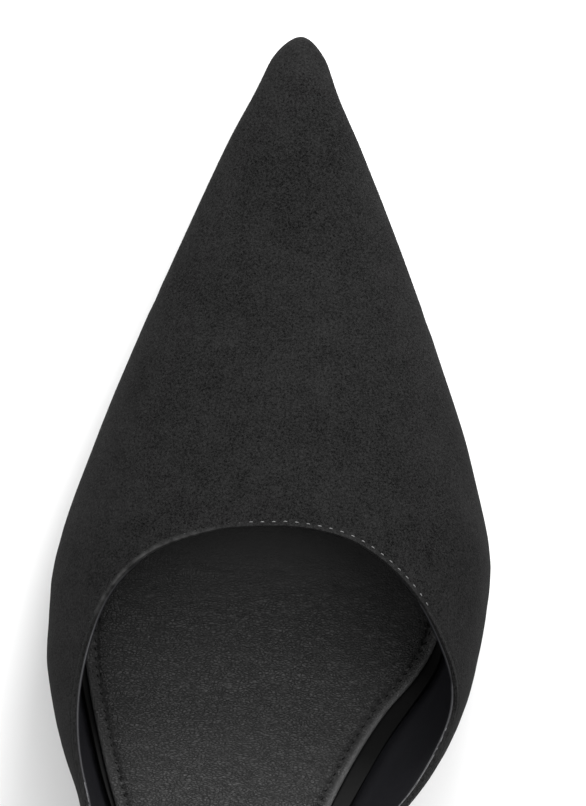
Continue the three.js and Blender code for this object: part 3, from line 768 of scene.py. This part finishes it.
def settle_tip(piece):
    """Evens out the skin over the point of the toe, where its rows crowd together."""
    mesh = bmesh.new()
    mesh.from_mesh(piece.data)
    tip = max(vertex.co.y for vertex in mesh.verts)
    mesh.normal_update()
    near = [vertex for vertex in mesh.verts if vertex.co.y > tip - TIP_ZONE]
    crowded = [vertex for vertex in near if vertex.normal.z > TIP_FACING]
    for _ in range(TIP_PASSES):
        bmesh.ops.smooth_vert(mesh, verts=crowded, factor=0.5,
                              use_axis_x=True, use_axis_y=True, use_axis_z=True)
    mesh.to_mesh(piece.data)
    mesh.free()


def near_line(points):
    """Finds the nearest of a line's points."""
    tree = KDTree(len(points))
    for k, point in enumerate(points):
        tree.insert(point, k)
    tree.balance()
    return tree


def refine_near(piece, rim, reach):
    """Divides the faces beside the rim, so that the fold can be shaped."""
    tree = near_line(rim)
    pick(piece)
    for vertex in piece.data.vertices:
        vertex.select = False
    for edge in piece.data.edges:
        edge.select = False
    for face in piece.data.polygons:
        face.select = tree.find(face.center)[2] < reach
    bpy.ops.object.mode_set(mode="EDIT")
    bpy.ops.mesh.select_mode(type="FACE")
    bpy.ops.mesh.subdivide(number_cuts=FOLD_CUTS)
    bpy.ops.object.mode_set(mode="OBJECT")


def shape_fold(piece, rim):
    """The folded edge swells a little, the stitches draw a groove below it, and its nap is rubbed."""
    tree = near_line(rim)

    def wear_and_highlight_share(place):
        outer = min(max((FOLD_WORN_FROM[0] - place.x) / abs(FOLD_WORN_FROM[0]), 0.2), 1)
        front = min(max((place.y - FOLD_WORN_FROM[1]) / FOLD_WORN_FADE, 0), 1)
        ruffled = 0.6 + 0.8 * noise.noise(place * FOLD_WORN_SCALE)
        return outer * front * ruffled * math.exp(-(tree.find(place)[2] / FOLD_WORN) ** 2)

    mark_wear_and_highlight(piece, wear_and_highlight_share)
    normals = [vertex.normal.copy() for vertex in piece.data.vertices]
    for vertex, normal in zip(piece.data.vertices, normals):
        distance = tree.find(vertex.co)[2]
        if distance < FOLD_ZONE:
            groove = FOLD_GROOVE * math.exp(-((distance - FOLD_LINE) / GROOVE_SPREAD) ** 2)
            swell = FOLD_SWELL * math.exp(-((distance - SWELL_LINE) / SWELL_SPREAD) ** 2)
            vertex.co += normal * (swell - groove)


def round_rim(piece, rim):
    """Rounds both edges of the fold."""
    tree = near_line(rim)
    pick(piece)
    bpy.ops.object.mode_set(mode="EDIT")
    bpy.ops.mesh.select_mode(type="EDGE")
    bpy.ops.mesh.select_all(action="DESELECT")
    bpy.ops.mesh.edges_select_sharp(sharpness=FOLD_SHARP)
    mesh = bmesh.from_edit_mesh(piece.data)
    for edge in mesh.edges:
        middle = (edge.verts[0].co + edge.verts[1].co) / 2
        if edge.select and tree.find(middle)[2] > 2 * SUEDE_THICKNESS:
            edge.select = False
    mesh.select_flush_mode()
    bmesh.update_edit_mesh(piece.data)
    bpy.ops.mesh.bevel(offset=FOLD_ROUNDING, segments=FOLD_SEGMENTS, affect="EDGES", clamp_overlap=True)
    bpy.ops.object.mode_set(mode="OBJECT")
    bpy.ops.object.shade_smooth()


# Lining
def make_lining():
    """Thin leather lining, cut off just below the fold of the suede."""
    lining = cad_copy("upper", "upper_lining")
    keep_regions(lining, UPPER_INSIDE)
    smooth(lining, WALL_SMOOTHING)
    edge = near_line(even_places(rim_line(lining), PROBE))
    normals = [vertex.normal.copy() for vertex in lining.data.vertices]
    mesh = bmesh.new()
    mesh.from_mesh(lining.data)
    mesh.verts.ensure_lookup_table()
    top = [vertex for vertex in mesh.verts if edge.find(vertex.co)[2] < MERGE]
    lowered = {}
    for vertex in top:
        below = [link.other_vert(vertex) for link in vertex.link_edges if link.other_vert(vertex) not in top]
        if below:
            step = below[0].co - vertex.co
            drop = min(LINING_DROP, LINING_DROP_SHARE * step.length)
            lowered[vertex.index] = vertex.co + step.normalized() * drop
    for vertex, normal in zip(mesh.verts, normals):
        share = max(0.0, 1 - edge.find(vertex.co)[2] / LINING_EASE)
        ease = share * share * (3 - 2 * share)
        vertex.co = lowered.get(vertex.index, vertex.co) + normal * LINING_PROUD * ease
    mesh.to_mesh(lining.data)
    mesh.free()
    edge_line = even_places(rim_line(lining), PROBE)
    stitches = seat_line(surface_of(lining), even_places(edge_line, TOPLINE_PITCH), LINING_SEAM)
    apply_modifier(lining, "SOLIDIFY", thickness=LINING_THICKNESS, offset=-1)
    pick(lining)
    bpy.ops.object.shade_smooth()
    return lining, stitches


# Sock
def smooth_height(places):
    """Height as a smooth function of the place along the shoe, from points of one level line."""
    rows = []
    for y, z in sorted((point.y, point.z) for point in places):
        if not rows or y - rows[-1][0] > LEVEL_STEP:
            rows.append((y, z))

    def height(y):
        k = 0
        while k < len(rows) - 2 and y > rows[k + 1][0]:
            k += 1
        at = max(k - 1, 0), k, k + 1, min(k + 2, len(rows) - 1)
        (y0, z0), (y1, z1), (y2, z2), (y3, z3) = (rows[n] for n in at)
        share = min(max((y - y1) / (y2 - y1), -0.5), 1.5)
        start = (z2 - z0) / (y2 - y0) * (y2 - y1)
        end = (z3 - z1) / (y3 - y1) * (y2 - y1)
        square = share * share
        cube = square * share
        return ((2 * cube - 3 * square + 1) * z1 + (cube - 2 * square + share) * start
                + (3 * square - 2 * cube) * z2 + (cube - square) * end)

    return height


def lowest_loop(node):
    """The outline of a plate's underside, in order, and its level along the shoe."""
    plate = cad_copy(node, node + "_outline")
    under = cad_region(plate, Vector((0, 0, -1)))
    keep_regions(plate, (under,))
    outline = rim_line(plate)
    level = smooth_height([vertex.co for vertex in plate.data.vertices])
    bpy.data.objects.remove(plate)
    return outline, level


def cad_region(piece, way):
    """The number of the region whose faces look most that way."""
    layer = piece.data.attributes["region"]
    facing = {}
    for face in piece.data.polygons:
        number = layer.data[face.index].value
        facing[number] = facing.get(number, 0.0) + face.area * face.normal.dot(way)
    return max(facing, key=facing.get)


def eased(points):
    """The same closed line with its corners eased."""
    ring = points
    for _ in range(OUTLINE_PASSES):
        ring = [(ring[k - 1] + ring[k] * 2 + ring[(k + 1) % len(ring)]) / 4 for k in range(len(ring))]
    return ring


def halves(outline, step):
    """The two sides of an outline from its front point to its rear one, as paired even places."""
    ring = even_places(eased(even_places(outline, OUTLINE_STEP)), step / OUTLINE_FINE)
    front = max(range(len(ring)), key=lambda k: ring[k].y)
    ring = ring[front:] + ring[:front]
    rear = min(range(len(ring)), key=lambda k: ring[k].y)
    sides = [ring[:rear + 1], [ring[0]] + ring[:rear - 1:-1]]
    count = round(sum(len(side) for side in sides) / (2 * OUTLINE_FINE))
    paired = []
    for side in sides:
        paired.append([side[round(k * (len(side) - 1) / count)] for k in range(count + 1)])
    return paired


def sock_height(distance):
    """Height of the sock over its underside at a distance from its cut edge."""
    for (near, low), (far, high) in zip(SOCK_PROFILE, SOCK_PROFILE[1:]):
        if distance <= far * MM:
            share = (distance / MM - near) / (far - near)
            return (low + (high - low) * share) * MM
    return SOCK_PROFILE[-1][1] * MM


def inward_rows(left, right):
    """The outline's places in pairs, left and right, each with its way in across the sock."""
    last = len(left) - 1
    rows = []
    for k in range(last + 1):
        middle = (left[k] + right[k]) / 2
        row = []
        for points in (left, right):
            ahead = points[min(k + SOCK_SHARE, last)] - points[max(k - SOCK_SHARE, 0)]
            inward = Vector((-ahead.y, ahead.x, 0)).normalized()
            if 0 < k < last:
                inward = inward if inward.dot(middle - points[k]) > 0 else -inward
            else:
                inward = Vector((0, -1 if k == 0 else 1, 0))
            row.append((points[k], inward))
        rows.append(row)
    return rows


def sock_place(level, x, y, height):
    """The place at a height over the sock's underside; the leather is faintly uneven there."""
    slope = (level(y + MM) - level(y - MM)) / (2 * MM)
    broad = noise.noise(Vector((x * 160, y * 330, 0.5)))
    fine = noise.noise(Vector((x * 420, y * 700, 3.1)))
    ease = min(max((height - UNEVEN_ABOVE) / UNEVEN_FADE, 0), 1)
    raised = height + SOCK_UNEVEN * (broad + 0.6 * fine) * ease
    return Vector((x, y, level(y) + raised * math.hypot(1, slope)))


def sock_border(level, k, side, point, inward, pull):
    """Places from the cut edge in over the border, which each stitch puckers."""
    phase = math.cos(2 * math.pi * (k - SOCK_SHARE // 2) / SOCK_SHARE)
    border = []
    for distance, _ in SOCK_PROFILE:
        away = distance * MM
        place = point + inward * away
        near = math.exp(-((away - SOCK_SEAM) / PUCKER_SPREAD) ** 2)
        beside = math.exp(-((away - SOCK_SEAM - CREASE_SPREAD) / CREASE_SPREAD) ** 2)
        height = sock_height(away) - SOCK_PUCKER * near * phase * pull
        height += SOCK_CREASE * beside * noise.noise(Vector((k * 0.5, side * 9.0, distance * 0.3)))
        border.append(sock_place(level, place.x, place.y, height))
    return border


def sock_line(level, k, row, pull):
    """Places across the sock from one cut edge to the other, over its crown."""
    left, right = (sock_border(level, k, side, *place, pull) for side, place in enumerate(row))
    crown = SOCK_CROWN * min((row[0][0] - row[1][0]).length / CROWN_WIDTH, 1.0)
    middle = []
    for c in range(1, SOCK_COLUMNS):
        share = c / SOCK_COLUMNS
        x = left[-1].x + (right[-1].x - left[-1].x) * share
        y = left[-1].y + (right[-1].y - left[-1].y) * share
        bulge = crown * (1 - (2 * share - 1) ** 2)
        middle.append(sock_place(level, x, y, SOCK_PROFILE[-1][1] * MM + bulge))
    return left + middle + right[::-1]


def sock_mesh(rows, level):
    """Corners and faces of the sock: its top, its underside and the cut edge between them."""
    count = len(rows) - 1
    random.seed(PUCKER_SEED)
    least, spread = PUCKER_PULL
    pulls = [least + spread * random.random() for _ in range(count // SOCK_SHARE + 2)]
    lines = [sock_line(level, k, row, pulls[k // SOCK_SHARE]) for k, row in enumerate(rows)]
    wide = len(lines[0])
    corners = [corner for line in lines for corner in line]
    faces = []
    for k in range(count):
        for c in range(wide - 1):
            a = k * wide + c
            faces.append((a, a + 1, a + 1 + wide, a + wide))
    first = len(corners)
    for row in rows:
        for point, _ in row:
            corners.append(Vector((point.x, point.y, level(point.y))))
    for k in range(count):
        a, b, c, d = (first + 2 * k + n for n in (0, 1, 3, 2))
        faces.append((a, d, c, b))
        faces.append((k * wide, (k + 1) * wide, d, a))
        e, f = (k + 1) * wide - 1, (k + 2) * wide - 1
        faces.append((e, b, c, f))
    return corners, faces


def sock_seam(rows, level, surface):
    """Places of the stitches, in the groove of the border along each side."""
    count = len(rows) - 1
    places = []
    for side in (0, 1):
        for k in range(SOCK_SHARE // 2, count - 1, SOCK_SHARE):
            point, inward = rows[k][side]
            x, y = (point + inward * SOCK_SEAM)[:2]
            ahead = (rows[min(k + 2, count)][side][0] - rows[max(k - 2, 0)][side][0]).normalized()
            place, normal, _, _ = surface.find_nearest(Vector((x, y, level(y) + UNEVEN_ABOVE)))
            places.append((place, normal, ahead, inward))
    return places


def make_sock():
    """Padded sock: a cut edge, a stitched border drawn down into the pad, and a soft crown."""
    outline, level = lowest_loop("sock")
    left, right = halves(outline, SOCK_STEP)
    rows = inward_rows(left, right)
    sock = make_piece("sock_pad", *sock_mesh(rows, level))
    clean_up(sock)
    cut_edge = near_line(left + right[::-1])

    # Painted highlight and wear: the cut edge is paler, fully on the inner side that faces the key light and
    # less on the outer side.
    def wear_and_highlight_share(place):
        side = 1.0 if place.x > (left[0].x + right[0].x) / 2 else SOCK_OUTER_HIGHLIGHT_SHARE
        near = cut_edge.find(Vector((place.x, place.y, level(place.y))))[2]
        return side * math.exp(-(near / SOCK_EDGE_WEAR_AND_HIGHLIGHT) ** 4)

    mark_wear_and_highlight(sock, wear_and_highlight_share)
    return sock, sock_seam(rows, level, surface_of(sock))


def clean_up(piece):
    """Closes doubled corners, drops faces without area and turns all faces outwards."""
    pick(piece)
    bpy.ops.object.mode_set(mode="EDIT")
    bpy.ops.mesh.select_all(action="SELECT")
    bpy.ops.mesh.remove_doubles(threshold=MERGE / 4)
    bpy.ops.mesh.dissolve_degenerate(threshold=MERGE / 8)
    bpy.ops.mesh.normals_make_consistent(inside=False)
    bpy.ops.object.mode_set(mode="OBJECT")
    bpy.ops.object.shade_smooth()


# Hard pieces
def make_solid(node, name, bevel, levels):
    """A CAD node's own shape, with its edges broken and its faces smooth."""
    piece = cad_copy(node, name)
    floor = min(vertex.co.z for vertex in piece.data.vertices)
    round_sharp_edges(piece, bevel)
    smooth(piece, levels)
    for vertex in piece.data.vertices:
        vertex.co.z = max(vertex.co.z, floor)
    return piece


# Stitches
def topline_lift(place):
    """The stitches stand on the suede at the inner front of the throat, and sink into its nap elsewhere."""
    bare = place.x > BARE_FROM[0] and place.y > BARE_FROM[1]
    return BARE_LIFT if bare else NAP_LIFT


def no_lift(place):
    return 0.0


# The shoe: each hard piece by its CAD node, name, broken edge, smoothing, material and record slot
HARD_PIECES = (
    ("outsole", "outsole_board", 0.35 * MM, 2, SOLE, "sole_leather"),
    ("insole", "insole_cover", 0.7 * MM, 2, INSOLE, "lining_leather"),
    ("heel", "heel_cover", 0.5 * MM, 3, SUEDE, "suede"),
    ("top_piece", "heel_tread", 0.4 * MM, 2, TREAD, "tread_plastic"),
)

skin, topline_places, edge_places = make_upper()
dress(skin, SUEDE, "suede", "upper")
lining, lining_places = make_lining()
dress(lining, LINING, "lining_leather")
edge = bead("topline_edge", edge_places, SUEDE_THICKNESS + EDGE_RADIUS, EDGE_RADIUS, EDGE_SIDES)
dress(edge, EDGE, "lining_leather")
sock, sock_places = make_sock()
dress(sock, SOCK, "sock_leather", "sock")

for node, name, bevel, levels, material, slot in HARD_PIECES:
    dress(make_solid(node, name, bevel, levels), material, slot, node)

topline_row = stitch_row("topline_stitches", topline_places, TOPLINE_STITCH, TOPLINE_THREAD, topline_lift)
dress(topline_row, GREY_THREAD, "thread")
lining_row = stitch_row("lining_stitches", lining_places, TOPLINE_STITCH, TOPLINE_THREAD, no_lift)
dress(lining_row, BLACK_THREAD, "thread")
sock_row = stitch_row("sock_stitches", sock_places, SOCK_STITCH, SOCK_THREAD, no_lift, SOCK_SLANT)
dress(sock_row, BLACK_THREAD, "thread")
